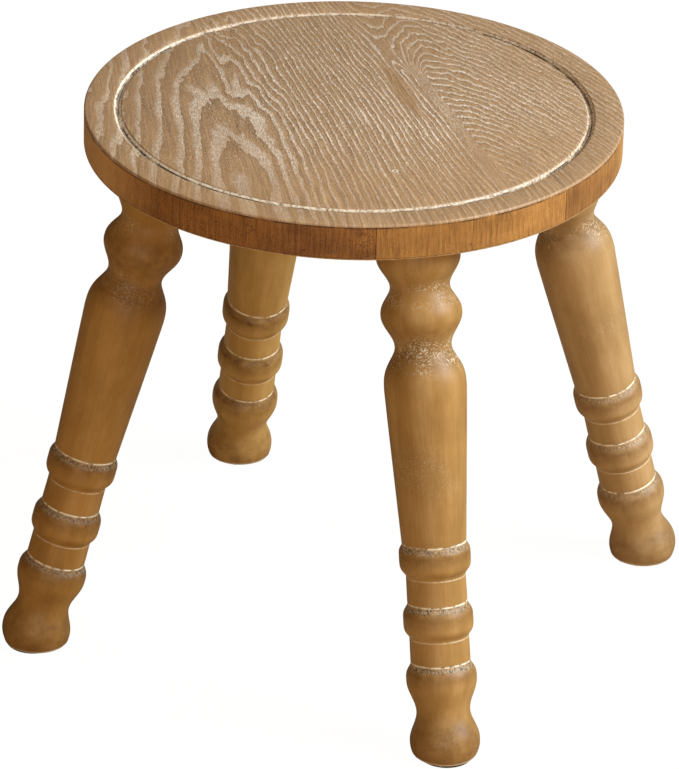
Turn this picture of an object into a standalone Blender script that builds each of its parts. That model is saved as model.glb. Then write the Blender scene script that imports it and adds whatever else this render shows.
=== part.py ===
"""Round wooden milking stool on four splayed, turned legs.

World metres, +Z up, origin on the floor at the middle of the footprint.
The legs stand on the diagonals, so the square of the four feet is parallel to X and Y.
"""

import math

import bmesh
import bpy
from mathutils import Matrix

# ---------------------------------------------------------------- driving dimensions
GAP = 0.0003                 # glue line or bedding gap left between two touching pieces

SEAT_RADIUS = 0.150
SEAT_HEIGHT = 0.310          # floor to the top of the seat
SEAT_THICKNESS = 0.021
FACE_VENEER = 0.0012
BACKING_VENEER = 0.0008
SEAT_STEPS = 72

GROOVE_RADIUS = 0.1315       # middle of the V-groove run round the top
GROOVE_HALF_WIDTH = 0.0025
GROOVE_DEPTH = 0.0025
ARRIS = 0.0010               # eased edge round the seat

GRAIN_ANGLE = math.radians(130.0)    # direction of the seat's grain, from +X
JOINT_OFFSETS = (-0.024, 0.089)      # glue joints of the core, measured across the grain

LEG_TOP_RADIUS = 0.1116      # leg axis from the stool's axis, at the underside of the seat
LEG_FOOT_RADIUS = 0.1872     # leg axis from the stool's axis, at the floor
LEG_STEPS = 24
LEG_NAMES = ("front_right", "back_right", "back_left", "front_left")
# Bored by eye: each leg stands a millimetre or two off its diagonal.
LEG_SHIFTS = ((-0.0015, -0.0007), (0.0017, 0.0008), (-0.0018, -0.0009), (0.0017, 0.0008))

BOLT_RADIUS = 0.0040
BOLT_IN_LEG = 0.032
BOLT_IN_SEAT = 0.0145
INSERT_RADIUS = 0.0060
INSERT_START = 0.0025        # insert's mouth above the underside, along the leg's axis
INSERT_LENGTH = 0.0120

PAD_RADIUS = 0.0150
PAD_THICKNESS = 0.0012

UNDERSIDE = SEAT_HEIGHT - SEAT_THICKNESS
CORE_TOP = SEAT_HEIGHT - FACE_VENEER - GAP
CORE_BOTTOM = UNDERSIDE + BACKING_VENEER + GAP
SOLE = PAD_THICKNESS + GAP
SPLAY = math.atan2(LEG_FOOT_RADIUS - LEG_TOP_RADIUS, UNDERSIDE)
LEG_LENGTH = UNDERSIDE / math.cos(SPLAY)

# Turned profile from below the sole to the collar: distance up the axis from the floor,
# diameter, fullness of the blend that leads up to this station, and steps in that blend.
LEG_STATIONS = (
    (-0.0100, 0.0240, 1.0, 0),
    (0.0095, 0.0396, 1.3, 3),    # foot bulb
    (0.0260, 0.0298, 1.0, 3),    # ankle
    (0.0440, 0.0391, 1.0, 3),    # lowest ring
    (0.0540, 0.0332, 1.9, 3),
    (0.0688, 0.0330, 1.0, 1),    # plain cylinder
    (0.0785, 0.0387, 2.4, 3),    # middle ring
    (0.0878, 0.0332, 2.0, 3),
    (0.1038, 0.0330, 1.0, 1),    # plain cylinder
    (0.1150, 0.0395, 2.6, 3),    # highest ring
    (0.1218, 0.0356, 2.2, 3),
    (0.1900, 0.0434, 0.0, 1),    # straight taper of the shaft
    (0.2085, 0.0453, 0.0, 1),    # fullest part of the shaft
    (0.2325, 0.0311, 1.6, 5),    # upper neck
    (0.2505, 0.0447, 1.0, 4),    # bead
    (0.2660, 0.0328, 1.2, 4),    # cove
    (0.2830, 0.0462, 1.1, 4),    # collar that meets the seat
    (0.3080, 0.0462, 0.0, 1),
)

# ---------------------------------------------------------------- empty scene
for old in list(bpy.data.objects):
    bpy.data.objects.remove(old, do_unlink=True)
for old in list(bpy.data.collections):
    bpy.data.collections.remove(old)

stool = bpy.data.collections.new("milking_stool")
tools = bpy.data.collections.new("cutters")
bpy.context.scene.collection.children.link(stool)
bpy.context.scene.collection.children.link(tools)


# ---------------------------------------------------------------- helpers
def material(name, colour, roughness, metallic=0.0):
    """A plain Principled material."""
    mat = bpy.data.materials.new(name)
    mat.use_nodes = True
    shader = mat.node_tree.nodes["Principled BSDF"]
    shader.inputs["Base Color"].default_value = (*colour, 1.0)
    shader.inputs["Roughness"].default_value = roughness
    shader.inputs["Metallic"].default_value = metallic
    return mat


def make(name, mesh, mat, collection=stool, location=(0, 0, 0), rotation=(0, 0, 0)):
    """Put a mesh in the scene as its own named object."""
    obj = bpy.data.objects.new(name, mesh)
    collection.objects.link(obj)
    obj.location = location
    obj.rotation_euler = rotation
    if mat is not None:
        obj.data.materials.append(mat)
    if collection is tools:
        obj.hide_render = True
        obj.display_type = "WIRE"
    return obj


def line_mesh(name, points, closed=False):
    """A profile drawn in the XZ plane as a chain of edges, closed for a hollow piece."""
    mesh = bpy.data.meshes.new(name)
    edges = [(i, i + 1) for i in range(len(points) - 1)]
    if closed:
        edges.append((len(points) - 1, 0))
    mesh.from_pydata([(x, 0.0, z) for x, z in points], edges, [])
    return mesh


def turn(obj, steps):
    """Turn the object's profile about its own Z axis."""
    screw = obj.modifiers.new("turn", "SCREW")
    screw.axis = "Z"
    screw.angle = math.tau
    screw.steps = steps
    screw.render_steps = steps
    screw.use_merge_vertices = True
    screw.merge_threshold = 0.00001
    screw.use_smooth_shade = True
    return obj


def cut(obj, cutter, operation="DIFFERENCE"):
    """Cut the object with a closed cutter."""
    mod = obj.modifiers.new(cutter.name, "BOOLEAN")
    mod.operation = operation
    mod.solver = "EXACT"
    mod.object = cutter


def box_cutter(name, size, location, rotation=(0, 0, 0)):
    """A plain block used as a cutter."""
    mesh = bpy.data.meshes.new(name)
    block = bmesh.new()
    bmesh.ops.create_cube(block, size=1.0, matrix=Matrix.Diagonal((*size, 1.0)))
    block.to_mesh(mesh)
    block.free()
    return make(name, mesh, None, tools, location, rotation)


def rod_cutter(name, radius, low, high, location, rotation, steps=20):
    """A plain rod used as a cutter, from low to high along its own Z axis."""
    profile = line_mesh(name, [(0.0, high), (radius, high), (radius, low), (0.0, low)])
    return turn(make(name, profile, None, tools, location, rotation), steps)


def blend(start, end, fullness, t):
    """Diameter part of the way between two stations: a straight line, or an ogee."""
    if fullness == 0.0:
        return start + (end - start) * t
    if start > end:
        return end + (start - end) * (1 + math.cos(math.pi * t ** fullness)) / 2
    return start + (end - start) * (1 + math.cos(math.pi * (1 - t) ** fullness)) / 2


def leg_outline():
    """Outer side of a leg, from the collar down to below the sole."""
    points = [(LEG_STATIONS[0][1] / 2, LEG_STATIONS[0][0])]
    for below, above in zip(LEG_STATIONS, LEG_STATIONS[1:]):
        for i in range(1, above[3] + 1):
            t = i / above[3]
            height = below[0] + (above[0] - below[0]) * t
            points.append((blend(below[1], above[1], above[2], t) / 2, height))
    return points[::-1]


# ---------------------------------------------------------------- materials
core_wood = material("core_hardwood", (0.42, 0.20, 0.07), 0.45)
veneer_wood = material("limed_ash_veneer", (0.55, 0.38, 0.21), 0.50)
backing_wood = material("backing_veneer", (0.50, 0.33, 0.18), 0.55)
leg_wood = material("turned_hardwood", (0.46, 0.28, 0.13), 0.42)
zinc_steel = material("zinc_plated_steel", (0.62, 0.62, 0.60), 0.35, 1.0)
pad_felt = material("foot_pad", (0.05, 0.04, 0.035), 0.85)

# ---------------------------------------------------------------- leg placements
# Each leg's own Z axis runs up its centre line from the floor.
leg_places = []
for index, (shift_x, shift_y) in enumerate(LEG_SHIFTS):
    bearing = math.radians(-45 + 90 * index)
    foot_x = LEG_FOOT_RADIUS * math.cos(bearing) + shift_x
    foot_y = LEG_FOOT_RADIUS * math.sin(bearing) + shift_y
    leg_places.append(((foot_x, foot_y, 0.0), (0.0, -SPLAY, bearing)))

above_seat = box_cutter("above_legs", (0.6, 0.6, 0.1), (0, 0, UNDERSIDE - GAP + 0.05))
below_soles = box_cutter("below_legs", (0.6, 0.6, 0.1), (0, 0, SOLE - 0.05))

# ---------------------------------------------------------------- seat core
# Boards edge-glued into a round blank, groove turned in the top, four inclined blind holes below.
groove_slope = GROOVE_HALF_WIDTH / GROOVE_DEPTH
core_groove = GROOVE_HALF_WIDTH - (SEAT_HEIGHT - CORE_TOP) * groove_slope
core_profile = [
    (0.0, CORE_TOP),
    (GROOVE_RADIUS - core_groove, CORE_TOP),
    (GROOVE_RADIUS, SEAT_HEIGHT - GROOVE_DEPTH),
    (GROOVE_RADIUS + core_groove, CORE_TOP),
    (SEAT_RADIUS, CORE_TOP),
    (SEAT_RADIUS, CORE_BOTTOM),
    (0.0, CORE_BOTTOM),
]
limits = (-0.2, *JOINT_OFFSETS, 0.2)
across = GRAIN_ANGLE - math.pi / 2
sockets = []
for (foot, rotation), leg_name in zip(leg_places, LEG_NAMES):
    low = LEG_LENGTH - 0.01
    high = LEG_LENGTH + INSERT_START + INSERT_LENGTH + GAP
    sockets.append(rod_cutter("socket_" + leg_name, INSERT_RADIUS + GAP, low, high, foot, rotation))
for index, board in enumerate(("left", "middle", "right")):
    low = limits[index] + GAP / 2
    high = limits[index + 1] - GAP / 2
    middle = (low + high) / 2
    centre = (middle * math.cos(across), middle * math.sin(across), UNDERSIDE)
    slab = box_cutter("slab_" + board, (high - low, 0.5, 0.1), centre, (0, 0, across))
    profile = line_mesh("core_" + board, core_profile)
    piece = turn(make("seat_board_" + board, profile, core_wood), SEAT_STEPS)
    cut(piece, slab, "INTERSECT")
    for socket in sockets:
        cut(piece, socket)

# ---------------------------------------------------------------- seat veneers
# The groove is cut through the face veneer, which leaves a disc and a separate rim.
veneer_bottom = SEAT_HEIGHT - FACE_VENEER
veneer_groove = GROOVE_HALF_WIDTH - FACE_VENEER * groove_slope
disc_profile = [
    (0.0, SEAT_HEIGHT),
    (GROOVE_RADIUS - GROOVE_HALF_WIDTH, SEAT_HEIGHT),
    (GROOVE_RADIUS - veneer_groove, veneer_bottom),
    (0.0, veneer_bottom),
]
rim_profile = [
    (GROOVE_RADIUS + GROOVE_HALF_WIDTH, SEAT_HEIGHT),
    (SEAT_RADIUS - ARRIS, SEAT_HEIGHT),
    (SEAT_RADIUS - 0.3 * ARRIS, SEAT_HEIGHT - 0.3 * ARRIS),
    (SEAT_RADIUS, SEAT_HEIGHT - ARRIS),
    (SEAT_RADIUS, veneer_bottom),
    (GROOVE_RADIUS + veneer_groove, veneer_bottom),
]
backing_profile = [
    (0.0, UNDERSIDE + BACKING_VENEER),
    (SEAT_RADIUS, UNDERSIDE + BACKING_VENEER),
    (SEAT_RADIUS - 0.0003, UNDERSIDE),
    (0.0, UNDERSIDE),
]
turn(make("face_veneer_disc", line_mesh("disc", disc_profile), veneer_wood), SEAT_STEPS)
rim = make("face_veneer_rim", line_mesh("rim", rim_profile, closed=True), veneer_wood)
turn(rim, SEAT_STEPS)
backing = make("backing_veneer", line_mesh("backing", backing_profile), backing_wood)
turn(backing, SEAT_STEPS)
for (foot, rotation), leg_name in zip(leg_places, LEG_NAMES):
    low = LEG_LENGTH - 0.01
    high = LEG_LENGTH + 0.01
    hole = rod_cutter("hole_" + leg_name, BOLT_RADIUS + 2 * GAP, low, high, foot, rotation)
    cut(backing, hole)

# ---------------------------------------------------------------- legs and their hardware
# A hanger bolt is driven into each leg's head and screwed into an insert let into the core.
bore_bottom = LEG_LENGTH - BOLT_IN_LEG - 0.001
bore_radius = BOLT_RADIUS + GAP
leg_profile = [(0.0, bore_bottom), (bore_radius, bore_bottom), (bore_radius, LEG_STATIONS[-1][0])]
leg_profile += leg_outline()
leg_profile.append((0.0, LEG_STATIONS[0][0]))

bolt_low = LEG_LENGTH - BOLT_IN_LEG
bolt_high = LEG_LENGTH + BOLT_IN_SEAT
bolt_profile = [
    (0.0, bolt_high),
    (BOLT_RADIUS - 0.0010, bolt_high),
    (BOLT_RADIUS, bolt_high - 0.0010),
    (BOLT_RADIUS, LEG_LENGTH - 0.0050),
    (BOLT_RADIUS - 0.0006, LEG_LENGTH - 0.0060),
    (BOLT_RADIUS - 0.0006, LEG_LENGTH - 0.0090),
    (BOLT_RADIUS, LEG_LENGTH - 0.0100),
    (BOLT_RADIUS, bolt_low + 0.0080),
    (0.0010, bolt_low),
    (0.0, bolt_low),
]

insert_low = LEG_LENGTH + INSERT_START
insert_high = insert_low + INSERT_LENGTH
insert_profile = [
    (BOLT_RADIUS + GAP, insert_high),
    (INSERT_RADIUS - 0.0006, insert_high),
    (INSERT_RADIUS, insert_high - 0.0006),
    (INSERT_RADIUS, insert_low),
    (BOLT_RADIUS + GAP + 0.0006, insert_low),
    (BOLT_RADIUS + GAP, insert_low + 0.0006),
]

pad_profile = [
    (0.0, PAD_THICKNESS),
    (PAD_RADIUS, PAD_THICKNESS),
    (PAD_RADIUS, 0.0003),
    (PAD_RADIUS - 0.0003, 0.0),
    (0.0, 0.0),
]

for (foot, rotation), leg_name in zip(leg_places, LEG_NAMES):
    outline = line_mesh("leg_" + leg_name, leg_profile)
    leg = turn(make("leg_" + leg_name, outline, leg_wood, stool, foot, rotation), LEG_STEPS)
    cut(leg, above_seat)
    cut(leg, below_soles)

    shank = line_mesh("bolt_" + leg_name, bolt_profile)
    turn(make("hanger_bolt_" + leg_name, shank, zinc_steel, stool, foot, rotation), 14)

    sleeve = line_mesh("insert_" + leg_name, insert_profile, closed=True)
    barrel = make("threaded_insert_" + leg_name, sleeve, zinc_steel, stool, foot, rotation)
    turn(barrel, 14)

    # The pad sits under the middle of the sole, a little inboard of the axis at the floor.
    bearing = rotation[2]
    inboard = SOLE * math.tan(SPLAY)
    spot = (foot[0] - inboard * math.cos(bearing), foot[1] - inboard * math.sin(bearing), 0.0)
    disc = line_mesh("pad_" + leg_name, pad_profile)
    turn(make("foot_pad_" + leg_name, disc, pad_felt, stool, spot), 28)
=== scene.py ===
import math

import bmesh
import bpy
import numpy
from mathutils import Euler, Matrix, Vector


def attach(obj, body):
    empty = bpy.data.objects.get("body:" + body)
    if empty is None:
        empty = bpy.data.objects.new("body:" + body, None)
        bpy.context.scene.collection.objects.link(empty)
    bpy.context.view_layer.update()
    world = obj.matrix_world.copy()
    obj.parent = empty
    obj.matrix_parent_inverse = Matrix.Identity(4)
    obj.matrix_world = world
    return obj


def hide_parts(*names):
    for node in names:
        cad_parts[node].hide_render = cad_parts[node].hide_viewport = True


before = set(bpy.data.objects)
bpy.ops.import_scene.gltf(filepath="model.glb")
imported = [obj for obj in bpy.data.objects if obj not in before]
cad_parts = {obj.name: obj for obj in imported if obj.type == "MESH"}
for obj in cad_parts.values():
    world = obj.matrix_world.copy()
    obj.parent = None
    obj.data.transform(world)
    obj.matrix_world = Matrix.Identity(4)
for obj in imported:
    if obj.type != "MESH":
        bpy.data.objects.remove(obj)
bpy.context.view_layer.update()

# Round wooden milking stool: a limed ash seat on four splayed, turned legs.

# ------------------------------------------------------------------ face veneer
# One sheet of flat-sliced ash, about 1 mm thick, glued over the whole seat. A V-groove run round
# near the edge cuts it into a disc and a rim. It was limed: white wax rubbed into the open pores
# and the groove, then wiped off the hard summer wood.

SEAT_TOP = 0.310
VENEER = 0.0012
GLUE = 0.00028               # the visible sheet reaches down through the glue line
SEAT_RADIUS = 0.150
GROOVE_RADIUS = 0.1315
GROOVE_HALF = 0.0025
GROOVE_DEPTH = 0.0025
INSIDE = SEAT_RADIUS - 0.010  # everything sunk below the top within this radius is the groove
ARRIS = 0.0010               # eased edge round the rim
GROOVE_ARRIS = 0.00045       # sanded corner at the lips of the groove
SEAT_STEPS = 256
GRAIN = math.radians(130.0)  # direction of the grain, from +X
ACROSS = GRAIN - math.pi / 2
MM = 1000.0                  # patterns are drawn in millimetres, objects in metres
SHARP = math.radians(35.0)   # edges sharper than this are not smoothed over
SAME_POINT = 0.000005        # points closer than this are one

LEFT_HEART = -70.0           # middle lines of the two arched figures, mm across from the centre
RIGHT_HEART = 49.0
FLAME_FORWARD = 15.4         # how far forward each heart lies, once stretched, and the stretch
FLAME_STRETCH = 0.20
FAN_FORWARD = 41.0
FAN_STRETCH = 0.35
RING = 3.2                   # spacing of the close growth rings, mm
BROAD_RING = 11.0            # and of the broad ones on the outer side of the left figure
FIRST_RING = 12.0            # distance of the first ring from the left heart
EASE = 22.0                  # rings reach their full closeness over about this distance
LAG = 4.84                   # rings that easing in leaves out
PORES = (1.9, 0.30, 1.0)     # per mm; drawn coarser than life, near 0.6 mm wide and 5 mm long
TONGUE = (32.0, 14.0)        # a smooth patch of late wood: its middle and its size per mm
TONGUE_SIZE = (0.20, 0.026)
DENT = (2.5, -83.5, 310.0)   # a small round dent and its radius
DENT_RADIUS = 1.5
LIP_DIRT = 0.00035           # depth of the line of dirt under the lip of the groove
CRUMBS = (620, 620, 620)     # per metre: the wax crumbles in bits of 1 to 2 mm

TAN = ("775b3d", "95724e", "ac8860")
LATE_WOOD = "64482c"
LIMED = "e6d8c6"
# The last of these is a painted highlight: the whiter groove wax towards the front left.
CRUMBLED_WAX, WAX, PAINTED_WAX_HIGHLIGHT = "846647", "c6b096", "efe3ce"
GROOVE_DIRT = "5a4024"


def srgb(code):
    """A colour written as sRGB hex, as the linear values a shader takes."""
    parts = [int(code[i : i + 2], 16) / 255 for i in (0, 2, 4)]
    return (*(p / 12.92 if p <= 0.04045 else ((p + 0.055) / 1.055) ** 2.4 for p in parts), 1.0)


def add(tree, kind, inputs=None, out=0, stops=None, **settings):
    """Add one node with its settings, values and links, and give back one of its outputs."""
    made = tree.nodes.new("ShaderNode" + kind)
    for name, value in settings.items():
        setattr(made, name, value)
    if stops:
        ramp = made.color_ramp.elements
        while len(ramp) < len(stops):
            ramp.new(0.5)
        for stop, (place, colour) in zip(ramp, stops):
            stop.position = place
            stop.color = colour
    for key, value in (inputs or {}).items():
        if isinstance(value, bpy.types.NodeSocket):
            tree.links.new(value, made.inputs[key])
        else:
            made.inputs[key].default_value = value
    return made.outputs[out]


def new_material(name):
    """An empty node material, and its node tree."""
    made = bpy.data.materials.new(name)
    made.use_nodes = True
    made.node_tree.nodes.clear()
    return made, made.node_tree


def end_with(tree, shader):
    """Link the last shader to a new output node."""
    ending = tree.nodes.new("ShaderNodeOutputMaterial")
    tree.links.new(shader, ending.inputs["Surface"])


def finish_material(tree, colour, rough, normal, **sockets):
    """Close a material with one Principled shader."""
    inputs = {"Base Color": colour, "Roughness": rough, "Normal": normal}
    inputs.update({name.replace("_", " "): value for name, value in sockets.items()})
    end_with(tree, add(tree, "BsdfPrincipled", inputs))


def along_grain(tree, place, scale=(MM, MM, MM)):
    """Coordinates turned so that X runs across the grain of the seat and Y along it."""
    return add(tree, "Mapping", {"Vector": place, "Rotation": (0, 0, -ACROSS), "Scale": scale})


def from_axis(tree, place):
    """Distance from the upright line through the middle of the seat, in metres."""
    flat = add(tree, "VectorMath", {0: place, 1: (1, 1, 0)}, operation="MULTIPLY")
    return add(tree, "VectorMath", {0: flat}, out="Value", operation="LENGTH")


def drift(tree, place, scale, amount, detail=2.0):
    """Coordinates pushed aside by soft noise, by up to about half of amount."""
    slow = add(tree, "Mapping", {"Vector": place, "Scale": scale})
    push = add(tree, "TexNoise", {"Vector": slow, "Scale": 1.0, "Detail": detail}, out="Color")
    push = add(tree, "VectorMath", {0: push, 1: (0.5, 0.5, 0.5)}, operation="SUBTRACT")
    push = add(tree, "VectorMath", {0: push, 1: amount}, operation="MULTIPLY")
    return add(tree, "VectorMath", {0: place, 1: push}, operation="ADD")


def grain_noise(tree, place, scale, low, high, seed=0.0, detail=3.0, rough=0.6):
    """Noise drawn to the wood's own scale, 0 up to low and 1 from high, or the other way round."""
    drawn = add(tree, "Mapping", {"Vector": place, "Scale": scale, "Location": (seed, seed, 0)})
    noise = add(tree, "TexNoise", {"Vector": drawn, "Scale": 1.0, "Detail": detail,
                                   "Roughness": rough})
    return add(tree, "MapRange", {"Value": noise, "From Min": low, "From Max": high})


def tint(tree, amount, below, above):
    """One colour or shade laid over another by an amount between 0 and 1."""
    return add(tree, "Mix", {0: amount, 6: below, 7: above}, data_type="RGBA", out=2)


def spin_profile(points, steps, closed=False, place=None):
    """Turn a profile, given as (radius, height) down its outer side, into a closed body."""
    shape = bmesh.new()
    verts = [shape.verts.new((r, 0.0, z)) for r, z in points]
    for start, end in zip(verts, verts[1:]):
        shape.edges.new((start, end))
    if closed:
        shape.edges.new((verts[-1], verts[0]))
    bmesh.ops.spin(
        shape, geom=shape.verts[:] + shape.edges[:], cent=(0, 0, 0), axis=(0, 0, 1),
        angle=math.tau, steps=steps, use_merge=True,
    )
    bmesh.ops.remove_doubles(shape, verts=shape.verts[:], dist=SAME_POINT)
    bmesh.ops.recalc_face_normals(shape, faces=shape.faces[:])
    if place is not None:
        bmesh.ops.transform(shape, matrix=place, verts=shape.verts[:])
    return shape


def slice_off(shape, point, outward):
    """Cut away all that lies past a plane, and give back the edges of the cut."""
    cut = bmesh.ops.bisect_plane(
        shape, geom=shape.verts[:] + shape.edges[:] + shape.faces[:],
        plane_co=point, plane_no=outward, clear_outer=True,
    )
    return [edge for edge in cut["geom_cut"] if isinstance(edge, bmesh.types.BMEdge)]


def as_piece(name, shape, material, replaced):
    """Give the finished mesh its object, its finish and its place in the frame."""
    mesh = bpy.data.meshes.new(name)
    shape.to_mesh(mesh)
    shape.free()
    piece = bpy.data.objects.new(name, mesh)
    bpy.context.scene.collection.objects.link(piece)
    mesh.materials.append(material)
    mesh.shade_smooth()
    mesh.set_sharp_from_angle(angle=SHARP)
    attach(piece, "root")
    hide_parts(replaced)


def groove_wax(tree, place):
    """White wax pressed into the groove: nearly solid, wood showing where it has crumbled, with a
    painted highlight that whitens it towards the front left.
    """
    crumb = grain_noise(tree, place, CRUMBS, 0.30, 0.60)
    wax = add(tree, "ValToRGB", {0: crumb}, stops=[(0.1, srgb(CRUMBLED_WAX)), (0.9, srgb(WAX))])
    # painted highlight: the wax is painted whiter towards the front left
    wax_highlight = add(tree, "VectorMath", {0: place, 1: (-0.60, -0.80, 0)}, out="Value",
                 operation="DOT_PRODUCT")
    wax_highlight = add(tree, "MapRange", {"Value": wax_highlight, "From Min": 0.02, "From Max": 0.11,
                                    "To Max": 0.74})
    wax_highlight = add(tree, "Math", {0: wax_highlight, 1: crumb}, operation="MULTIPLY")
    return tint(tree, wax_highlight, wax, srgb(PAINTED_WAX_HIGHLIGHT))


def limed_ash(name):
    """Flat-sliced ash, limed and sealed dull: pale pore bands with smooth tan wood between."""
    made, tree = new_material(name)
    place = add(tree, "TexCoord", out="Object")
    grain = along_grain(tree, place)
    # the fibres wander a few millimetres over the length of a hand, and waver over a finger
    bent = drift(tree, grain, (0.022, 0.009, 0.02), (9.0, 40.0, 0.0))
    bent = drift(tree, bent, (0.10, 0.030, 0.1), (1.8, 9.0, 0.0), 3.0)
    bent = drift(tree, bent, (0.45, 0.12, 0.1), (1.1, 4.0, 0.0))
    # the lines lie a little closer together at the back than at the front
    across = add(tree, "SeparateXYZ", {0: bent}, out="X")
    along = add(tree, "SeparateXYZ", {0: bent}, out="Y")
    splay = add(tree, "Math", {0: along, 1: 0.0015, 2: 1.0}, operation="MULTIPLY_ADD")
    across = add(tree, "Math", {0: across, 1: splay}, operation="MULTIPLY")
    bent = add(tree, "CombineXYZ", {0: across, 1: along})
    # left figure: broad ragged flames, closing where the cut leaves the ring
    flame = drift(tree, bent, (0.040, 0.016, 0.1), (13.0, 90.0, 0.0))
    flame = drift(tree, flame, (0.12, 0.06, 0.1), (3.0, 46.0, 0.0), 2.5)
    calm = add(tree, "MapRange", {"Value": across, "From Min": -52.0, "From Max": -22.0})
    flame = add(tree, "Mix", {0: calm, 4: flame, 5: bent}, data_type="VECTOR", out=1)
    flame = add(tree, "Mapping", {"Vector": flame, "Scale": (1, FLAME_STRETCH, 0),
                                  "Location": (-LEFT_HEART, FLAME_FORWARD, 0)})
    # the rings arch towards the back, and run straight in front of their heart
    flame = add(tree, "VectorMath", {0: flame, 1: (-MM, 0, 0)}, operation="MAXIMUM")
    away = add(tree, "VectorMath", {0: flame}, out="Value", operation="LENGTH")
    out = add(tree, "Math", {0: away, 1: FIRST_RING}, operation="SUBTRACT")
    # rings narrow towards the middle of the seat
    ease = add(tree, "Math", {0: out, 1: -1 / EASE}, operation="MULTIPLY")
    ease = add(tree, "Math", {0: ease}, operation="EXPONENT")
    close = add(tree, "Math", {0: out, 1: RING}, operation="DIVIDE")
    close = add(tree, "Math", {0: ease, 1: LAG, 2: close}, operation="MULTIPLY_ADD")
    close = add(tree, "Math", {0: close, 1: LAG}, operation="SUBTRACT")
    broad = add(tree, "Math", {0: out, 1: BROAD_RING}, operation="DIVIDE")
    side = add(tree, "MapRange", {"Value": across, "From Min": LEFT_HEART - 4,
                                  "From Max": LEFT_HEART + 6}, interpolation_type="SMOOTHSTEP")
    rings = add(tree, "Mix", {0: side, 2: broad, 3: close}, data_type="FLOAT")
    # right figure: close rings fanning off a straight stem, which fades out towards the back
    fan = add(tree, "Mapping", {"Vector": bent, "Scale": (1, FAN_STRETCH, 0),
                                "Location": (-RIGHT_HEART, FAN_FORWARD, 0)})
    fan = add(tree, "VectorMath", {0: fan}, out="Value", operation="LENGTH")
    fan = add(tree, "Math", {0: fan, 1: RING}, operation="DIVIDE")
    spread = add(tree, "MapRange", {"Value": along, "From Min": 35.0, "From Max": 90.0,
                                    "To Min": 4.0, "To Max": 26.0})
    side = add(tree, "Math", {0: across, 1: RIGHT_HEART}, operation="SUBTRACT")
    side = add(tree, "Math", {0: side, 1: spread}, operation="DIVIDE")
    side = add(tree, "MapRange", {"Value": side, "From Min": -1.2, "From Max": 0.8},
               interpolation_type="SMOOTHSTEP")
    rings = add(tree, "Mix", {0: side, 2: rings, 3: fan}, data_type="FLOAT")
    # no two rings are the same width
    uneven = grain_noise(tree, bent, (0.16, 0.030, 0.02), 0.25, 0.75, seed=2.0)
    waver = add(tree, "MapRange", {"Value": away, "From Min": 28.0, "From Max": 60.0,
                                   "To Min": 0.15, "To Max": 0.62})
    waver = add(tree, "Math", {0: waver, 1: uneven}, operation="MULTIPLY")
    rings = add(tree, "Math", {0: rings, 1: waver}, operation="ADD")
    ring = add(tree, "Math", {0: rings}, operation="FRACT")
    # the porous share of each ring: half of a broad one, less of a narrow one
    share = add(tree, "MapRange", {"Value": away, "From Min": 16.0, "From Max": 42.0,
                                   "To Min": 0.50, "To Max": 0.27})
    share = add(tree, "Math", {0: uneven, 1: 0.20, 2: share}, operation="MULTIPLY_ADD")
    share = add(tree, "Math", {0: ring, 1: share}, operation="SUBTRACT")
    porous = add(tree, "MapRange", {"Value": share, "From Min": 0.0, "From Max": -0.20})
    late = add(tree, "MapRange", {"Value": ring, "From Min": 0.66, "From Max": 0.96})
    late = add(tree, "Math", {0: late, 1: 0.7}, operation="MULTIPLY")
    # wax lies in most pores, as lines and specks; a few stay open and dark
    pores = grain_noise(tree, bent, PORES, 0.47, 0.56)
    speck = grain_noise(tree, bent, (2.0, 0.95, 1.0), 0.48, 0.60, seed=9.0)
    open_pores = grain_noise(tree, bent, PORES, 0.45, 0.38, seed=17.0)
    patch = grain_noise(tree, grain, (0.03, 0.018, 0.02), 0.32, 0.62, seed=4.0)
    patch = add(tree, "MapRange", {"Value": patch, "To Min": 0.60, "To Max": 1.0})
    fill = add(tree, "Math", {0: pores, 1: speck}, operation="MAXIMUM")
    fill = add(tree, "MapRange", {"Value": fill, "To Min": 0.05, "To Max": 1.0})
    limed = add(tree, "Math", {0: porous, 1: fill}, operation="MULTIPLY")
    faint = add(tree, "MapRange", {"Value": away, "From Min": 24.0, "From Max": 50.0,
                                   "To Min": 0.76, "To Max": 0.90})
    limed = add(tree, "Math", {0: limed, 1: faint}, operation="MULTIPLY")
    stray = add(tree, "Math", {0: pores, 1: speck}, operation="MULTIPLY")
    stray = add(tree, "Math", {0: stray, 1: 0.60}, operation="MULTIPLY")
    limed = add(tree, "Math", {0: limed, 1: stray}, operation="MAXIMUM")
    limed = add(tree, "Math", {0: limed, 1: patch}, operation="MULTIPLY")
    # a smooth tongue of late wood beside the stem
    wide, long = TONGUE_SIZE
    tongue = add(tree, "Mapping", {"Vector": bent, "Scale": (wide, long, 0),
                                   "Location": (-TONGUE[0] * wide, -TONGUE[1] * long, 0)})
    tongue = add(tree, "VectorMath", {0: tongue}, out="Value", operation="LENGTH")
    tongue = add(tree, "MapRange", {"Value": tongue, "From Min": 0.75, "From Max": 1.15,
                                    "To Min": 0.15, "To Max": 1.0})
    limed = add(tree, "Math", {0: limed, 1: tongue}, operation="MULTIPLY")
    # sitting and wiping wore the wax away towards the rim and the front
    radius = from_axis(tree, place)
    worn = add(tree, "MapRange", {"Value": radius, "From Min": 0.050,
                                  "From Max": SEAT_RADIUS, "To Min": 1.0, "To Max": 0.42})
    front = add(tree, "MapRange", {"Value": along, "From Min": -30.0, "From Max": -95.0,
                                   "To Min": 1.0, "To Max": 0.58})
    worn = add(tree, "Math", {0: worn, 1: front}, operation="MULTIPLY")
    limed = add(tree, "Math", {0: limed, 1: worn}, operation="MULTIPLY")
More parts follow.
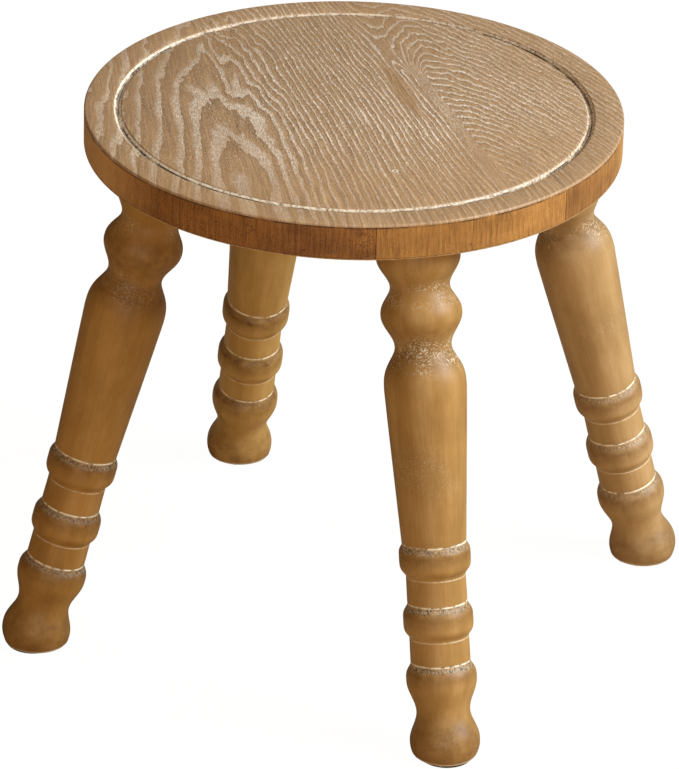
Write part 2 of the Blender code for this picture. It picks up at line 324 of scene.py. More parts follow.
    # the edge of one small round dent caught the wax
    dent = add(tree, "VectorMath", {0: grain, 1: DENT}, operation="SUBTRACT")
    dent = add(tree, "VectorMath", {0: dent}, out="Value", operation="LENGTH")
    dent = add(tree, "Math", {0: dent, 1: DENT_RADIUS}, operation="SUBTRACT")
    dent = add(tree, "Math", {0: dent}, operation="ABSOLUTE")
    dent = add(tree, "MapRange", {"Value": dent, "From Min": 0.2, "From Max": 0.6,
                                  "To Min": 0.6, "To Max": 0.0})
    limed = add(tree, "Math", {0: limed, 1: dent}, operation="MAXIMUM")
    fibre = grain_noise(tree, bent, (0.9, 0.03, 0.5), 0.25, 0.75, detail=4.0)
    tan = add(tree, "ValToRGB", {0: fibre}, stops=[
        (stop, srgb(code)) for stop, code in zip((0.0, 0.5, 1.0), TAN)])
    late = add(tree, "Math", {0: late, 1: open_pores}, operation="MAXIMUM")
    late = add(tree, "Math", {0: late, 1: worn}, operation="MULTIPLY")
    late = add(tree, "Math", {0: late, 1: 0.75}, operation="MULTIPLY")
    tan = tint(tree, late, tan, srgb(LATE_WOOD))
    wood = tint(tree, limed, tan, srgb(LIMED))
    # wax packed in the groove, with a line of dirt just under its lips
    height = add(tree, "SeparateXYZ", {0: place}, out="Z")
    inner = add(tree, "Math", {0: radius, 1: INSIDE}, operation="LESS_THAN")
    sunk = add(tree, "MapRange", {"Value": height, "From Min": SEAT_TOP - LIP_DIRT,
                                  "From Max": SEAT_TOP - 2 * LIP_DIRT})
    sunk = add(tree, "Math", {0: sunk, 1: inner}, operation="MULTIPLY")
    colour = tint(tree, sunk, wood, groove_wax(tree, place))
    dirt = add(tree, "Math", {0: height, 1: SEAT_TOP - LIP_DIRT}, operation="SUBTRACT")
    dirt = add(tree, "Math", {0: dirt}, operation="ABSOLUTE")
    dirt = add(tree, "MapRange", {"Value": dirt, "From Min": 0.00006, "From Max": 0.00024,
                                  "To Min": 0.25, "To Max": 0.0})
    dirt = add(tree, "Math", {0: dirt, 1: inner}, operation="MULTIPLY")
    colour = tint(tree, dirt, colour, srgb(GROOVE_DIRT))
    rough = add(tree, "MapRange", {"Value": limed, "To Min": 0.50, "To Max": 0.72})
    relief = add(tree, "Math", {0: limed, 1: -1.0}, operation="MULTIPLY")
    normal = add(tree, "Bump", {"Height": relief, "Strength": 0.35, "Distance": 0.00025},
                 out="Normal")
    finish_material(tree, colour, rough, normal, Specular_IOR_Level=0.35)
    return made


veneer_finish = limed_ash("limed_ash_veneer")
slope = GROOVE_HALF / GROOVE_DEPTH
sheet_bottom = SEAT_TOP - VENEER - GLUE
foot_of_wall = GROOVE_HALF - (VENEER + GLUE) * slope
lip = GROOVE_ARRIS * 0.7
disc_points = [
    (0.0, SEAT_TOP),
    (GROOVE_RADIUS - GROOVE_HALF - GROOVE_ARRIS, SEAT_TOP),
    (GROOVE_RADIUS - GROOVE_HALF - 0.4 * lip, SEAT_TOP - 0.2 * lip),
    (GROOVE_RADIUS - GROOVE_HALF + lip, SEAT_TOP - lip),
    (GROOVE_RADIUS - foot_of_wall, sheet_bottom),
    (0.0, sheet_bottom),
]
rim_points = [
    (GROOVE_RADIUS + foot_of_wall, sheet_bottom),
    (GROOVE_RADIUS + GROOVE_HALF - lip, SEAT_TOP - lip),
    (GROOVE_RADIUS + GROOVE_HALF + 0.4 * lip, SEAT_TOP - 0.2 * lip),
    (GROOVE_RADIUS + GROOVE_HALF + GROOVE_ARRIS, SEAT_TOP),
    (SEAT_RADIUS - ARRIS, SEAT_TOP),
    (SEAT_RADIUS - 0.62 * ARRIS, SEAT_TOP - 0.08 * ARRIS),
    (SEAT_RADIUS - 0.29 * ARRIS, SEAT_TOP - 0.29 * ARRIS),
    (SEAT_RADIUS - 0.08 * ARRIS, SEAT_TOP - 0.62 * ARRIS),
    (SEAT_RADIUS, SEAT_TOP - ARRIS),
    (SEAT_RADIUS, sheet_bottom),
]
shape = spin_profile(disc_points, SEAT_STEPS)
as_piece("limed_disc", shape, veneer_finish, "face_veneer_disc")
shape = spin_profile(rim_points, SEAT_STEPS, closed=True)
as_piece("limed_rim", shape, veneer_finish, "face_veneer_rim")

# ------------------------------------------------------------------ core boards
# Three boards of an orange-brown hardwood, glued edge to edge and sawn round. Their ends show at
# the front and back of the edge as fine upright growth lines, their long sides left and right.

GAP = 0.0003
SEAT_THICKNESS = 0.021
BACKING = 0.0008
UNDERSIDE = SEAT_TOP - SEAT_THICKNESS
CORE_TOP = SEAT_TOP - VENEER - GAP
CORE_BOTTOM = UNDERSIDE + BACKING + GAP
JOINTS = (-0.024, 0.089)      # where the boards meet, measured across the grain
PAST_RIM = 0.2
CORNER = 0.0001              # the sawn corners are hardly broken
GROOVE_FLAT = 0.0003         # half the width of the groove's blunt bottom
CORE_RING = 3.1              # growth rings of the boards, mm
# The third of these is the pale tone of the boards' long sides, partly painted light on the edge at
# the front left and back right.
STREAK, PIT, PALE_SIDE_AND_LIGHT, EDGE_DIRT = "55300f", "3c200a", "cf9a5c", "3a200c"


def core_hardwood(name, heart, tints, seed, pitted):
    """Plain-sawn hardwood, stained: rough upright rings and pits on the sawn ends."""
    made, tree = new_material(name)
    place = add(tree, "TexCoord", out="Object")
    grain = along_grain(tree, place)
    grain = add(tree, "VectorMath", {0: grain, 1: (seed, 0, 0)}, operation="ADD")
    bent = drift(tree, grain, (0.05, 0.012, 0.05), (3.0, 0.0, 2.5), 3.0)
    rings = add(tree, "Mapping", {"Vector": bent, "Scale": (1, 0, 1),
                                  "Location": (-heart[0], 0, -heart[1])})
    rings = add(tree, "VectorMath", {0: rings}, out="Value", operation="LENGTH")
    rings = add(tree, "Math", {0: rings, 1: CORE_RING}, operation="DIVIDE")
    ring = add(tree, "Math", {0: rings}, operation="FRACT")
    fine = grain_noise(tree, bent, (2.2, 0.04, 0.10), 0.12, 0.88, detail=4.0)
    both = add(tree, "Mix", {0: 0.80, 2: ring, 3: fine}, data_type="FLOAT")
    broad = grain_noise(tree, grain, (0.030, 0.010, 0.05), 0.25, 0.75)
    both = add(tree, "Mix", {0: 0.35, 2: both, 3: broad}, data_type="FLOAT")
    colour = add(tree, "ValToRGB", {0: both}, stops=[
        (stop, srgb(code)) for stop, code in zip((0.25, 0.50, 0.75), tints)])
    # darker upright streaks, and pits torn by the saw
    streak = grain_noise(tree, bent, (0.55, 0.02, 0.05), 0.50, 0.66, seed=5.0)
    streak = add(tree, "Math", {0: streak, 1: 0.45}, operation="MULTIPLY")
    colour = tint(tree, streak, colour, srgb(STREAK))
    pit = grain_noise(tree, bent, (1.5, 0.50, 1.0), pitted, pitted - 0.09, seed=2.0)
    coarse = grain_noise(tree, grain, (0.10, 0.03, 0.14), 0.36, 0.60, seed=8.0)
    coarse = add(tree, "MapRange", {"Value": coarse, "To Min": 0.15, "To Max": 0.80})
    pit = add(tree, "Math", {0: pit, 1: coarse}, operation="MULTIPLY")
    colour = tint(tree, pit, colour, srgb(PIT))
    # sawn ends drink the stain and stay darker; the paler long sides of the outer boards are partly
    # painted light, brightening the edge at the front left and back right
    ends = add(tree, "SeparateXYZ", {0: grain}, out="Y")
    ends = add(tree, "Math", {0: ends}, operation="ABSOLUTE")
    pale_sides_and_light = add(tree, "MapRange", {"Value": ends, "From Min": 78.0, "From Max": 30.0,
                                    "To Max": 0.62})
    colour = tint(tree, pale_sides_and_light, colour, srgb(PALE_SIDE_AND_LIGHT))
    # wax left in the bottom of the groove, dirt under the veneer at the outer edge
    radius = from_axis(tree, place)
    inner = add(tree, "Math", {0: radius, 1: INSIDE}, operation="LESS_THAN")
    colour = tint(tree, inner, colour, groove_wax(tree, place))
    height = add(tree, "SeparateXYZ", {0: place}, out="Z")
    dirt = add(tree, "MapRange", {"Value": height, "From Min": CORE_TOP - 0.0012,
                                  "From Max": CORE_TOP - 0.0004, "To Min": 0.0, "To Max": 0.9})
    patchy = grain_noise(tree, place, (70, 70, 10), 0.38, 0.55)
    dirt = add(tree, "Math", {0: dirt, 1: patchy}, operation="MULTIPLY")
    colour = tint(tree, dirt, colour, srgb(EDGE_DIRT))
    rough = add(tree, "MapRange", {"Value": both, "To Min": 0.62, "To Max": 0.50})
    relief = add(tree, "Math", {0: both, 1: pit}, operation="SUBTRACT")
    normal = add(tree, "Bump", {"Height": relief, "Strength": 0.4, "Distance": 0.0003},
                 out="Normal")
    finish_material(tree, colour, rough, normal, Specular_IOR_Level=0.3)
    return made


core_groove = GROOVE_HALF - (SEAT_TOP - CORE_TOP) * slope
core_points = [
    (0.0, CORE_TOP),
    (GROOVE_RADIUS - core_groove, CORE_TOP),
    (GROOVE_RADIUS - GROOVE_FLAT, SEAT_TOP - GROOVE_DEPTH + CORNER),
    (GROOVE_RADIUS + GROOVE_FLAT, SEAT_TOP - GROOVE_DEPTH + CORNER),
    (GROOVE_RADIUS + core_groove, CORE_TOP),
    (SEAT_RADIUS - CORNER, CORE_TOP),
    (SEAT_RADIUS, CORE_TOP - CORNER),
    (SEAT_RADIUS, CORE_BOTTOM + CORNER),
    (SEAT_RADIUS - CORNER, CORE_BOTTOM),
    (0.0, CORE_BOTTOM),
]
sideways = Vector((math.cos(ACROSS), math.sin(ACROSS), 0.0))
edges = (-PAST_RIM, *JOINTS, PAST_RIM)
# Each board: its side, the heart of its rings (mm across and up), its tones, where its noise
# starts, and how much of the sawn end is pitted.
board_looks = (
    ("left", (-420.0, 300.0), ("603710", "835222", "a06c30"), 3.0, 0.47),
    ("middle", (250.0, 318.0), ("734a1e", "93632e", "a8763c"), 11.0, 0.42),
    ("right", (-60.0, 292.0), ("633c16", "7f5226", "95672f"), 23.0, 0.37),
)
for index, (side_name, heart, tints, seed, pitted) in enumerate(board_looks):
    shape = spin_profile(core_points, SEAT_STEPS)
    for offset, outward in ((edges[index] + GAP / 2, -1), (edges[index + 1] - GAP / 2, 1)):
        if abs(offset) < SEAT_RADIUS:
            rim = slice_off(shape, sideways * offset, sideways * outward)
            bmesh.ops.contextual_create(shape, geom=rim)
    bmesh.ops.recalc_face_normals(shape, faces=shape.faces[:])
    finish = core_hardwood("stained_hardwood_" + side_name, heart, tints, seed, pitted)
    as_piece("core_board_" + side_name, shape, finish, "seat_board_" + side_name)

# ------------------------------------------------------------------ backing veneer
# A plain balancing veneer glued under the core, edges rounded over with sandpaper. Its worn
# corner shows as a light line round the bottom of the edge.

ROUNDED = 0.0006


def plain_veneer(name):
    """Straight-grained veneer, sealed once: dull, pale, with fine pores."""
    made, tree = new_material(name)
    place = add(tree, "TexCoord", out="Object")
    grain = along_grain(tree, place, (700, 30, 700))
    lines = add(tree, "TexNoise", {"Vector": grain, "Scale": 1.0, "Detail": 4.0,
                                   "Distortion": 0.4})
    colour = add(tree, "ValToRGB", {0: lines}, stops=[
        (0.30, srgb("8a6136")), (0.52, srgb("a87e4e")), (0.75, srgb("c29b6c"))])
    rough = add(tree, "MapRange", {"Value": lines, "To Min": 0.5, "To Max": 0.7})
    normal = add(tree, "Bump", {"Height": lines, "Strength": 0.3, "Distance": 0.0002}, out="Normal")
    finish_material(tree, colour, rough, normal)
    return made


backing_points = [
    (0.0, UNDERSIDE + BACKING),
    (SEAT_RADIUS, UNDERSIDE + BACKING),
    (SEAT_RADIUS - ROUNDED / 6, UNDERSIDE + ROUNDED / 2),
    (SEAT_RADIUS - ROUNDED / 2, UNDERSIDE + ROUNDED / 6),
    (SEAT_RADIUS - ROUNDED, UNDERSIDE),
    (0.0, UNDERSIDE),
]
shape = spin_profile(backing_points, SEAT_STEPS)
as_piece("backing_sheet", shape, plain_veneer("plain_backing_veneer"), "backing_veneer")

# ------------------------------------------------------------------ legs
# Four hardwood legs, each turned in one piece: collar, cove, bead, neck, tapered shaft, three
# rings, ankle and foot bulb. Stained golden brown; wax stayed beside the rings and in the coves.

LEG_TOP_RADIUS = 0.1116
LEG_FOOT_RADIUS = 0.1872
SPLAY = math.atan2(LEG_FOOT_RADIUS - LEG_TOP_RADIUS, UNDERSIDE)
LEG_LENGTH = UNDERSIDE / math.cos(SPLAY)
PAD_THICKNESS = 0.0012
SOLE = PAD_THICKNESS + GAP
BORE_RADIUS = 0.0040 + GAP    # blind hole for the hanger bolt
BORE_DEPTH = 0.033
LEG_STEPS = 96
SEED_STEP = 7.0              # each leg's wood starts this much further into the noise
WORN_SOLE = 0.0006           # rounding of the edge of the sole
LEG_NAMES = ("front_right", "back_right", "back_left", "front_left")
LEG_BEARINGS = [math.radians(-45 + 90 * index) for index in range(4)]
# Fitted by hand, no leg stands quite on its corner of the square.
LEG_SHIFTS = ((-0.0015, -0.0007), (0.0017, 0.0008), (-0.0018, -0.0009), (0.0017, 0.0008))
# Stations up a leg from the floor: height, diameter, fullness of the curve up to here (0 is a
# straight line) and the number of steps in it.
LEG_STATIONS = (
    (-0.0100, 0.0240, 1.0, 0),
    (0.0095, 0.0389, 1.3, 12),
    (0.0260, 0.0298, 1.0, 14),
    (0.0440, 0.0391, 1.0, 14),
    (0.0540, 0.0332, 1.9, 12),
    (0.0688, 0.0330, 1.0, 10),
    (0.0785, 0.0387, 2.4, 12),
    (0.0878, 0.0332, 2.0, 12),
    (0.1038, 0.0330, 1.0, 10),
    (0.1150, 0.0395, 2.6, 14),
    (0.1218, 0.0356, 2.2, 10),
    (0.1900, 0.0434, 0.0, 14),
    (0.2085, 0.0453, 0.0, 6),
    (0.2325, 0.0311, 1.6, 18),
    (0.2505, 0.0447, 1.0, 16),
    (0.2660, 0.0328, 1.2, 16),
    (0.2830, 0.0462, 1.1, 16),
    (0.3080, 0.0462, 0.0, 8),
)
# Cut with the point of the chisel where a ring meets plain wood: height, depth, half-width.
CUTS_ABOVE = ((0.0545, 0.0005, 0.0006), (0.0883, 0.0005, 0.0006), (0.1223, 0.0005, 0.0006))
CUTS_BELOW = ((0.0683, 0.0002, 0.0004), (0.1032, 0.0002, 0.0004))
ROWS_OVER_CUT = (-5, -3, -1.6, -1, -0.5, 0, 0.5, 1, 1.6)   # in half-widths of the cut

# Tones of each leg, front right first. The two back legs are lighter: partly wood that differs,
# partly painted light standing in for the extra light that reaches them.
LEG_TONES_AND_LIGHT = (
    ("785527", "926b37", "a8814e"),
    ("826039", "9a774a", "ae8b60"),
    ("8a6431", "a57e43", "bb945b"),
    ("765023", "90662d", "a67a42"),
)
# How badly each leg tore in the coves and under the cuts, and how strongly its darkened bands show,
# stain and painted shade.
LEG_WEAR_AND_SHADE = ((1.0, 1.0, 0.15), (0.7, 0.55, 0.35), (0.25, 0.2, 0.95), (0.35, 1.0, 0.85))
# The second of these darkens the end grain with stain and the hollows with painted shade.
VESSELS, END_GRAIN_AND_SHADE, TORN_HOLE, GOUGED, RUBBED_WAX = "5f3c12", "5c3811", "2c1a08", "4e3212", "e2d4ba"

# Marks left by turning and finishing, and painted shade: height, reach to either side, gain and
# depth.
WAXED = [(z, 0.0007, 1.4, 1.0) for z, _, _ in CUTS_ABOVE]
WAXED += [(z, 0.0006, 1.0, 0.42) for z, _, _ in CUTS_BELOW]
TORN = [(z - 0.0019, 0.0024, 1.3, 1.0) for z, _, _ in CUTS_ABOVE]
# Stain on the end grain of the foot and the rings, and painted shade in the neck, under the bead
# and in the cove.
SOAKED_AND_SHADED = [
    (0.0060, 0.0240, 2.0, 0.75),   # bulb of the foot
    (0.0490, 0.0075, 1.0, 0.85),   # the three rings
    (0.0825, 0.0075, 1.0, 0.85),
    (0.1165, 0.0075, 1.0, 0.85),
    (0.2300, 0.0120, 1.0, 0.90),   # neck
    (0.2440, 0.0120, 1.0, 0.45),   # underside of the bead
    (0.2660, 0.0070, 1.0, 0.30),   # cove
]
# Darker bands below each ring's top cut, and painted shade round the bead and on the shoulder below
# the neck.
DARKENED = [(z - 0.0032, 0.0042, 1.5, 1.2) for z, _, _ in CUTS_ABOVE]
DARKENED += [(0.2480, 0.0150, 1.8, 1.0), (0.2240, 0.0110, 1.0, 1.0)]
SCUFFED = [
    (0.2300, 0.0130, 1.0, 1.0),    # neck
    (0.2640, 0.0080, 1.0, 1.0),    # cove
    (0.1660, 0.0200, 1.0, 0.16),   # shaft
    (0.0120, 0.0100, 1.0, 0.10),   # bulb
]


def blend(start, end, fullness, t):
    """Diameter part of the way between two stations: a straight line, or an ogee."""
    if fullness == 0.0:
        return start + (end - start) * t
    if start > end:
        return end + (start - end) * (1 + math.cos(math.pi * t ** fullness)) / 2
    return start + (end - start) * (1 + math.cos(math.pi * (1 - t) ** fullness)) / 2


def leg_outline():
    """Outer side of a leg, from the collar down to below the sole."""
    points = [(LEG_STATIONS[0][0], LEG_STATIONS[0][1] / 2)]
    for below, above in zip(LEG_STATIONS, LEG_STATIONS[1:]):
        for i in range(1, above[3] + 1):
            t = i / above[3]
            height = below[0] + (above[0] - below[0]) * t
            points.append((height, blend(below[1], above[1], above[2], t) / 2))
    heights, radii = zip(*points)
    for middle, depth, half in CUTS_ABOVE + CUTS_BELOW:
        rows = [middle + half * k for k in ROWS_OVER_CUT]
        near = [(z, float(numpy.interp(z, heights, radii))) for z in rows]
        near = [(z, r - depth * max(0.0, 1 - abs(z - middle) / half)) for z, r in near]
        points = [p for p in points if not rows[0] - half < p[0] < rows[-1] + half] + near
    return [(r, z) for z, r in sorted(points, reverse=True)]


def turned_hardwood(name, foot, turn, tints, seed):
    """Stained hardwood off the lathe, rubbed with white wax that stayed in cuts and torn grain."""
    made, tree = new_material(name)
    place = add(tree, "TexCoord", out="Object")
    along = add(tree, "Mapping", {"Vector": place, "Location": foot, "Rotation": turn,
                                  "Scale": (1 / MM, 1 / MM, 1 / MM)}, vector_type="TEXTURE")
    wood = add(tree, "VectorMath", {0: along, 1: (seed, seed, 0)}, operation="ADD")
    bent = drift(tree, wood, (0.03, 0.03, 0.006), (10.0, 10.0, 0.0))
    fine = grain_noise(tree, bent, (1.5, 1.5, 0.03), 0.1, 0.9, detail=5.0, rough=0.55)
    broad = grain_noise(tree, bent, (0.09, 0.09, 0.008), 0.25, 0.75)
    cloud = grain_noise(tree, wood, (0.04, 0.04, 0.03), 0.25, 0.75, seed=6.0)
    both = add(tree, "Mix", {0: 0.55, 2: fine, 3: broad}, data_type="FLOAT")
    both = add(tree, "Mix", {0: 0.30, 2: both, 3: cloud}, data_type="FLOAT")
    colour = add(tree, "ValToRGB", {0: both}, stops=[
        (stop, srgb(code)) for stop, code in zip((0.15, 0.50, 0.85), tints)])
    vessel = grain_noise(tree, bent, (2.2, 2.2, 0.10), 0.63, 0.72, seed=3.0)
    vessel = add(tree, "Math", {0: vessel, 1: 0.30}, operation="MULTIPLY")
    colour = tint(tree, vessel, colour, srgb(VESSELS))
    # stain sits darker on the end grain of the rings and the foot, and painted shade darkens the
    # neck, the cove, the underside of the bead and the shoulder below the neck
    stain_and_shade = add(tree, "Attribute", out="Fac", attribute_name="stain_and_shade")
    mottle = grain_noise(tree, wood, (0.16, 0.16, 0.20), 0.05, 0.85, seed=1.0)
    stain_and_shade = add(tree, "Math", {0: stain_and_shade, 1: mottle}, operation="MULTIPLY")
    colour = tint(tree, stain_and_shade, colour, srgb(END_GRAIN_AND_SHADE))
    # grain torn out under each cut: short upright nicks, some black, some full of wax
    torn = add(tree, "Attribute", out="Fac", attribute_name="torn")
    rugged = grain_noise(tree, wood, (0.06, 0.06, 0.03), 0.40, 0.58, seed=9.0)
    rugged = add(tree, "MapRange", {"Value": rugged, "To Min": 0.50, "To Max": 1.0})
    torn = add(tree, "Math", {0: torn, 1: rugged}, operation="MULTIPLY")
    nick = grain_noise(tree, wood, (1.0, 1.0, 0.45), 0.40, 0.62, seed=8.0)
    black = grain_noise(tree, wood, (1.0, 1.0, 0.60), 0.45, 0.54, seed=2.0)
    black = add(tree, "Math", {0: black, 1: torn}, operation="MULTIPLY")
    colour = tint(tree, black, colour, srgb(TORN_HOLE))
    # scuffs: slanting scratches where the gouge tore the coves
    scuff = add(tree, "Attribute", out="Fac", attribute_name="scuff")
    where = grain_noise(tree, wood, (0.045, 0.045, 0.05), 0.42, 0.58, seed=5.0)
    slant = drift(tree, wood, (0.15, 0.15, 0.15), (6.0, 6.0, 6.0))
    scratch = grain_noise(tree, slant, (0.8, 0.8, 1.3), 0.50, 0.66, seed=7.0, detail=4.0)
    scuff = add(tree, "Math", {0: scuff, 1: where}, operation="MULTIPLY")
    gouge = grain_noise(tree, slant, (0.7, 0.7, 1.2), 0.50, 0.62, seed=12.0, detail=4.0)
    gouge = add(tree, "Math", {0: gouge, 1: scuff}, operation="MULTIPLY")
    gouge = add(tree, "Math", {0: gouge, 1: 0.7}, operation="MULTIPLY")
    colour = tint(tree, gouge, colour, srgb(GOUGED))
    scuff = add(tree, "Math", {0: scuff, 1: scratch}, operation="MULTIPLY")
    # the wax lines have crumbled out here and there
    wax = add(tree, "Attribute", out="Fac", attribute_name="wax")
    gone = grain_noise(tree, wood, (0.30, 0.30, 0.3), 0.36, 0.52, seed=4.0)
    gone = add(tree, "MapRange", {"Value": gone, "To Min": 0.10, "To Max": 1.0})
    wax = add(tree, "Math", {0: wax, 1: gone}, operation="MULTIPLY")
    # painted highlight: a pale line round the top of the collar under the seat, standing in for the
    # bright gap between collar and seat
    height = add(tree, "SeparateXYZ", {0: place}, out="Z")
    gap_highlight = add(tree, "MapRange", {"Value": height, "From Min": UNDERSIDE - 0.0022,
                                  "From Max": UNDERSIDE - 0.0012})
    kept = grain_noise(tree, wood, (0.05, 0.05, 0.02), 0.42, 0.50, seed=3.5)
    gap_highlight = add(tree, "Math", {0: gap_highlight, 1: kept}, operation="MULTIPLY")
    wax = add(tree, "Math", {0: wax, 1: gap_highlight}, operation="MAXIMUM")
    # and a worn light corner round the sole
    worn = add(tree, "MapRange", {"Value": height, "From Min": SOLE + 0.0018,
                                  "From Max": SOLE + 0.0006, "To Min": 0.0, "To Max": 0.5})
    wax = add(tree, "Math", {0: wax, 1: worn}, operation="MAXIMUM")
    nick = add(tree, "Math", {0: nick, 1: torn}, operation="MULTIPLY")
    nick = add(tree, "Math", {0: nick, 1: 0.38}, operation="MULTIPLY")
    white = add(tree, "Math", {0: wax, 1: nick}, operation="MAXIMUM")
    white = add(tree, "Math", {0: white, 1: scuff}, operation="MAXIMUM")
    colour = tint(tree, white, colour, srgb(RUBBED_WAX))
    rough = add(tree, "MapRange", {"Value": white, "To Min": 0.52, "To Max": 0.75})
    relief = add(tree, "Math", {0: torn, 1: black}, operation="MULTIPLY")
    relief = add(tree, "Math", {0: fine, 1: 0.3, 2: relief}, operation="MULTIPLY_ADD")
    normal = add(tree, "Bump", {"Height": relief, "Strength": 0.35, "Distance": -0.0003},
                 out="Normal")
    finish_material(tree, colour, rough, normal, Specular_IOR_Level=0.3)
    return made


def strongest(height, marks):
    """The strongest of several marks at a height; each falls straight off to either side."""
    return max(depth * min(1.0, gain * max(0.0, 1.0 - abs(height - middle) / reach))
               for middle, reach, gain, depth in marks)


def leg_marks(height, torn_coves, torn_cuts, dark):
    """How much wax, torn grain, stain and painted shade, and scuffing there is at a height on a
    leg.
    """
    return {
        "wax": strongest(height, WAXED),
        "torn": torn_cuts * strongest(height, TORN),
        "stain_and_shade": max(strongest(height, SOAKED_AND_SHADED), dark * strongest(height, DARKENED)),
        "scuff": torn_coves * min(0.7, 1.2 * strongest(height, SCUFFED)),
    }


outline = leg_outline()
bore_bottom = LEG_LENGTH - BORE_DEPTH
leg_points = [(0.0, bore_bottom), (BORE_RADIUS, bore_bottom), (BORE_RADIUS, outline[0][1])]
leg_points += outline + [(0.0, outline[-1][1])]
leg_feet = [Vector((LEG_FOOT_RADIUS * math.cos(bearing) + shift_x,
                    LEG_FOOT_RADIUS * math.sin(bearing) + shift_y, 0))
            for bearing, (shift_x, shift_y) in zip(LEG_BEARINGS, LEG_SHIFTS)]
for index, (leg_name, foot) in enumerate(zip(LEG_NAMES, leg_feet)):
    turn = Euler((0.0, -SPLAY, LEG_BEARINGS[index]))
    stand = Matrix.Translation(foot) @ turn.to_matrix().to_4x4()
    shape = spin_profile(leg_points, LEG_STEPS)
    layers = {mark: shape.verts.layers.float.new(mark) for mark in leg_marks(0, 0, 0, 0)}
    for vert in shape.verts:
        for mark, value in leg_marks(vert.co.z, *LEG_WEAR_AND_SHADE[index]).items():
            vert[layers[mark]] = value
    bmesh.ops.transform(shape, matrix=stand, verts=shape.verts[:])
    rim = slice_off(shape, (0, 0, UNDERSIDE - GAP), (0, 0, 1))
    bmesh.ops.bridge_loops(shape, edges=rim)
    rim = slice_off(shape, (0, 0, SOLE), (0, 0, -1))
    bmesh.ops.contextual_create(shape, geom=rim)
    bmesh.ops.bevel(shape, geom=rim, offset=WORN_SOLE, segments=2, profile=0.5,
                    affect="EDGES", material=-1)
    bmesh.ops.recalc_face_normals(shape, faces=shape.faces[:])
    finish = turned_hardwood("turned_hardwood_" + leg_name, foot, turn, LEG_TONES_AND_LIGHT[index],
                             SEED_STEP * index)
    as_piece("turned_leg_" + leg_name, shape, finish, "leg_" + leg_name)

# ------------------------------------------------------------------ foot pads
# Thin dark self-adhesive pads under the soles, punched from sheet rubber with a pebbled face.

PAD_RADIUS = 0.0150
PAD_STEPS = 64
PUNCHED = 0.0002             # rounding of the punched edge, a little more underneath
TRODDEN = 0.0003


def dark_rubber(name):
    """Sheet rubber: matt, nearly black, dusty, with a fine pebbled grain."""
    made, tree = new_material(name)
    place = add(tree, "TexCoord", out="Object")
    pebble = add(tree, "TexNoise", {"Vector": place, "Scale": 1500.0, "Detail": 3.0})
    colour = add(tree, "ValToRGB", {0: pebble}, stops=[
        (0.35, srgb("1f1812")), (0.7, srgb("3d3228"))])
    rough = add(tree, "MapRange", {"Value": pebble, "To Min": 0.70, "To Max": 0.90})
    normal = add(tree, "Bump", {"Height": pebble, "Strength": 0.5, "Distance": 0.0003},
                 out="Normal")
    finish_material(tree, colour, rough, normal)
    return made


rubber = dark_rubber("dark_sheet_rubber")
pad_points = [
    (0.0, PAD_THICKNESS),
    (PAD_RADIUS - PUNCHED, PAD_THICKNESS),
    (PAD_RADIUS, PAD_THICKNESS - PUNCHED),
    (PAD_RADIUS, TRODDEN),
    (PAD_RADIUS - TRODDEN, 0.0),
    (0.0, 0.0),
]
inboard = SOLE * math.tan(SPLAY)
for leg_name, foot, bearing in zip(LEG_NAMES, leg_feet, LEG_BEARINGS):
    spot = Matrix.Translation(foot - inboard * Vector((math.cos(bearing), math.sin(bearing), 0)))
    shape = spin_profile(pad_points, PAD_STEPS, place=spot)
    as_piece("rubber_pad_" + leg_name, shape, rubber, "foot_pad_" + leg_name)

# ------------------------------------------------------------------ bolts and inserts
# Zinc-plated steel hanger bolts and threaded inserts, hidden inside the legs and the core. The
# CAD solids stay and take the finish.


def zinc_plate(name):
    """Bright zinc on rolled steel: a soft metal sheen with faint spangle."""
    made, tree = new_material(name)
    place = add(tree, "TexCoord", out="Object")
    spangle = add(tree, "TexNoise", {"Vector": place, "Scale": 600.0, "Detail": 3.0})
    colour = add(tree, "ValToRGB", {0: spangle}, stops=[
        (0.3, srgb("9c9c98")), (0.7, srgb("c6c6c2"))])
    rough = add(tree, "MapRange", {"Value": spangle, "To Min": 0.28, "To Max": 0.45})
    normal = add(tree, "Bump", {"Height": spangle, "Strength": 0.1, "Distance": 0.0002},
                 out="Normal")
    finish_material(tree, colour, rough, normal, Metallic=1.0)
    return made


zinc = zinc_plate("zinc_plated_steel_finish")
for leg_name in LEG_NAMES:
    for part in ("hanger_bolt_", "threaded_insert_"):
        for material_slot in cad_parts[part + leg_name].material_slots:
            material_slot.material = zinc

# ------------------------------------------------------------------ studio
# A pale floor, one large soft light from the right, a weak one from the front and a dim warm
# surround. The camera stands well back, with a long lens.

FLOOR_HALF = 12.0
FLOOR_DROP = 0.0001          # the floor lies just clear of the pads
FLOOR_PAINT = "b39c7c"
FLOOR_GLOW = 1.09            # lit from behind, the floor shows white to the camera
GLOW_SHARE = 0.90
SURROUND, SURROUND_STRENGTH = "ffd6a2", 0.20
LIGHTS_AIM = Vector((0.0, 0.0, 0.2))

CAMERA_AZIMUTH = math.radians(25.53)
CAMERA_ELEVATION = math.radians(27.34)
CAMERA_DISTANCE = 3.45
CAMERA_ROLL = math.radians(1.63)
CAMERA_AIM = Vector((0.0, 0.0, 0.120))
SENSOR = 36.0
LENS = 321.084
SHIFT_X, SHIFT_Y = -0.008984, 0.041090

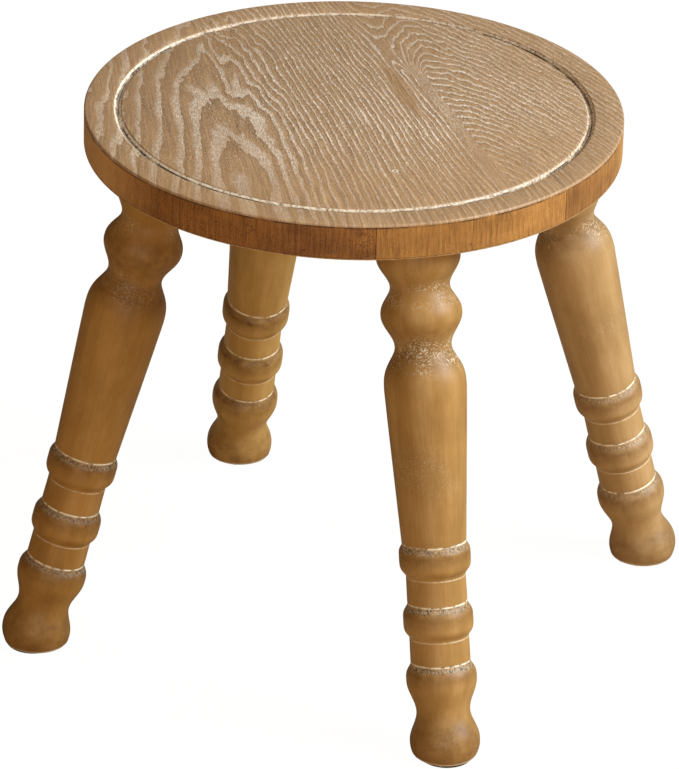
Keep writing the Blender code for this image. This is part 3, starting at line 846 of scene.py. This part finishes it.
floor_mesh = bpy.data.meshes.new("studio_floor")
sheet = bmesh.new()
bmesh.ops.create_grid(sheet, x_segments=1, y_segments=1, size=FLOOR_HALF,
                      matrix=Matrix.Translation((0, 0, -FLOOR_DROP)))
sheet.to_mesh(floor_mesh)
sheet.free()
floor = bpy.data.objects.new("studio_floor", floor_mesh)
bpy.context.scene.collection.objects.link(floor)
pale, tree = new_material("pale_floor_paint")
matt = add(tree, "BsdfDiffuse", {"Color": srgb(FLOOR_PAINT)})
glow = add(tree, "Emission", {"Color": srgb("ffffff"), "Strength": FLOOR_GLOW})
seen = add(tree, "LightPath", out="Is Camera Ray")
seen = add(tree, "Math", {0: seen, 1: GLOW_SHARE}, operation="MULTIPLY")
mixed = add(tree, "MixShader", {0: seen, 1: matt, 2: glow})
# seen from below, the floor is clear, so the underside can be looked at
below = add(tree, "NewGeometry", out="Backfacing")
clear = add(tree, "BsdfTransparent")
end_with(tree, add(tree, "MixShader", {0: below, 1: mixed, 2: clear}))
floor_mesh.materials.append(pale)


def direction(azimuth, elevation):
    """Unit vector out from the stool; azimuth runs from the front towards the right."""
    return Vector((math.sin(azimuth) * math.cos(elevation),
                   -math.cos(azimuth) * math.cos(elevation), math.sin(elevation)))


def facing(outward):
    """The turn that makes a camera or a light look back along a direction, kept upright."""
    return (-outward).to_track_quat("-Z", "Y").to_matrix().to_4x4()


toward = direction(CAMERA_AZIMUTH, CAMERA_ELEVATION)
camera_data = bpy.data.cameras.new("camera")
camera = bpy.data.objects.new("camera", camera_data)
bpy.context.scene.collection.objects.link(camera)
camera_data.sensor_fit = "HORIZONTAL"
camera_data.sensor_width = SENSOR
camera_data.lens = LENS
camera_data.shift_x = SHIFT_X
camera_data.shift_y = SHIFT_Y
camera.matrix_world = (Matrix.Translation(CAMERA_AIM + toward * CAMERA_DISTANCE)
                       @ facing(toward) @ Matrix.Rotation(CAMERA_ROLL, 4, "Z"))
bpy.context.scene.camera = camera


def soft_light(name, azimuth, elevation, distance, size, power, colour):
    """A square soft box aimed at the stool."""
    outward = direction(math.radians(azimuth), math.radians(elevation))
    data = bpy.data.lights.new(name, "AREA")
    data.shape = "SQUARE"
    data.size = size
    data.energy = power
    data.color = srgb(colour)[:3]
    lamp = bpy.data.objects.new(name, data)
    bpy.context.scene.collection.objects.link(lamp)
    lamp.matrix_world = Matrix.Translation(LIGHTS_AIM + outward * distance) @ facing(outward)


soft_light("key_light", azimuth=102, elevation=38, distance=3.0, size=1.5, power=205,
           colour="e6f4ff")
soft_light("fill_light", azimuth=22, elevation=18, distance=3.5, size=2.2, power=58,
           colour="fff2e0")

world = bpy.data.worlds.new("surround")
world.use_nodes = True
background = world.node_tree.nodes["Background"]
background.inputs["Color"].default_value = srgb(SURROUND)
background.inputs["Strength"].default_value = SURROUND_STRENGTH
bpy.context.scene.world = world
bpy.context.scene.view_settings.view_transform = "Standard"
